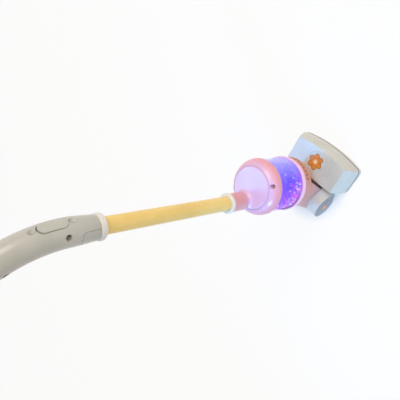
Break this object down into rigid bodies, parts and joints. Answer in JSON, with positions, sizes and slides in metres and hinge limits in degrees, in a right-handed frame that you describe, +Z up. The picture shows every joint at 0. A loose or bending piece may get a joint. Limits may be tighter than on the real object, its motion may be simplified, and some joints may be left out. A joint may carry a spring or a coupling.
{
  "type": "toy vacuum cleaner",
  "caption": "Toy upright stick vacuum with a hinged wheeled floor head, a lit clear bin of foam beads stirred by a fan, a slim tube and a bent handle with power rocker and tube release tabs.",
  "frame": {"origin": "on the floor, under the middle of the object's overall box", "axes": "+X towards the front of the floor head, +Y to the left, +Z up along the tube of the upright stick"},
  "size_m": [0.1822, 0.117, 0.5875],
  "materials": {
    "grey_plastic": "satin",
    "mid_grey_plastic": "satin",
    "cream_plastic": "satin",
    "yellow_plastic": "semi-gloss",
    "pink_plastic": "satin",
    "pale_pink_plastic": "satin",
    "clear_plastic": "clear gloss",
    "white_plastic": "satin",
    "foam": "matte",
    "led_lens": "clear gloss",
    "circuit_board": "satin",
    "dark_plastic": "satin",
    "wire_sleeve": "satin",
    "cell_sleeve": "gloss",
    "brass": "plain",
    "steel": "plain"
  },
  "bodies": {
    "head": {"head_cover": "grey_plastic", "head_sole": "grey_plastic", "cover_badge": "grey_plastic", "head_screws": "steel", "yoke_arm_right": "grey_plastic", "yoke_arm_left": "grey_plastic", "pivot_cap_right": "mid_grey_plastic", "pivot_cap_left": "mid_grey_plastic", "yoke_screws": "steel", "hinge_pin": "steel", "wheel_axles": "steel"},
    "right_wheel": {"wheel_right": "dark_plastic"},
    "left_wheel": {"wheel_left": "dark_plastic"},
    "wand": {"handle_shell_right": "grey_plastic", "handle_shell_left": "grey_plastic", "handle_screws": "steel", "handle_collar": "cream_plastic", "rocker_pin": "steel", "switch_board": "circuit_board", "power_switch": "dark_plastic", "wand_tube": "yellow_plastic", "wire_harness": "wire_sleeve", "neck_collar": "cream_plastic", "top_cap": "pink_plastic", "cap_screws": "steel", "led_board": "circuit_board", "leds": "led_lens", "dust_bin": "clear_plastic", "bin_ring": "pale_pink_plastic", "bin_grille": "pale_pink_plastic", "foam_beads": "foam", "lower_housing": "pink_plastic", "motor_plate": "white_plastic", "motor": "steel", "battery_cells": "cell_sleeve", "battery_contacts": "brass", "battery_door": "pink_plastic", "door_screw": "steel"},
    "rocker": {"power_rocker": "grey_plastic"},
    "right_tab": {"release_tab_right": "grey_plastic"},
    "left_tab": {"release_tab_left": "grey_plastic"},
    "fan": {"fan_shaft": "steel", "fan_wheel": "white_plastic"}
  },
  "joints": [
    {"name": "wand_lean", "type": "hinge", "parent": "head", "child": "wand", "pos_m": [0.00561, 0, 0.0205], "axis": [0, -1, 0], "range_deg": [0, 80]},
    {"name": "rocker_press", "type": "hinge", "parent": "wand", "child": "rocker", "pos_m": [0.01218, 0, 0.46526], "axis": [0, -1, 0], "range_deg": [0, 6]},
    {"name": "right_tab_press", "type": "slide", "parent": "wand", "child": "right_tab", "axis": [0, 1, 0], "range_m": [0, 0.0008], "stiffness_N_per_m": 400},
    {"name": "left_tab_press", "type": "slide", "parent": "wand", "child": "left_tab", "axis": [0, -1, 0], "range_m": [0, 0.0008], "stiffness_N_per_m": 400},
    {"name": "fan_spin", "type": "hinge", "parent": "wand", "child": "fan", "pos_m": [0.02861, 0, 0.09], "axis": [0, 0, 1], "continuous": true},
    {"name": "right_wheel_spin", "type": "hinge", "parent": "head", "child": "right_wheel", "pos_m": [0.05011, -0.0496, 0.006], "axis": [0, 1, 0], "continuous": true},
    {"name": "left_wheel_spin", "type": "hinge", "parent": "head", "child": "left_wheel", "pos_m": [0.05011, 0.0496, 0.006], "axis": [0, 1, 0], "continuous": true}
  ]
}
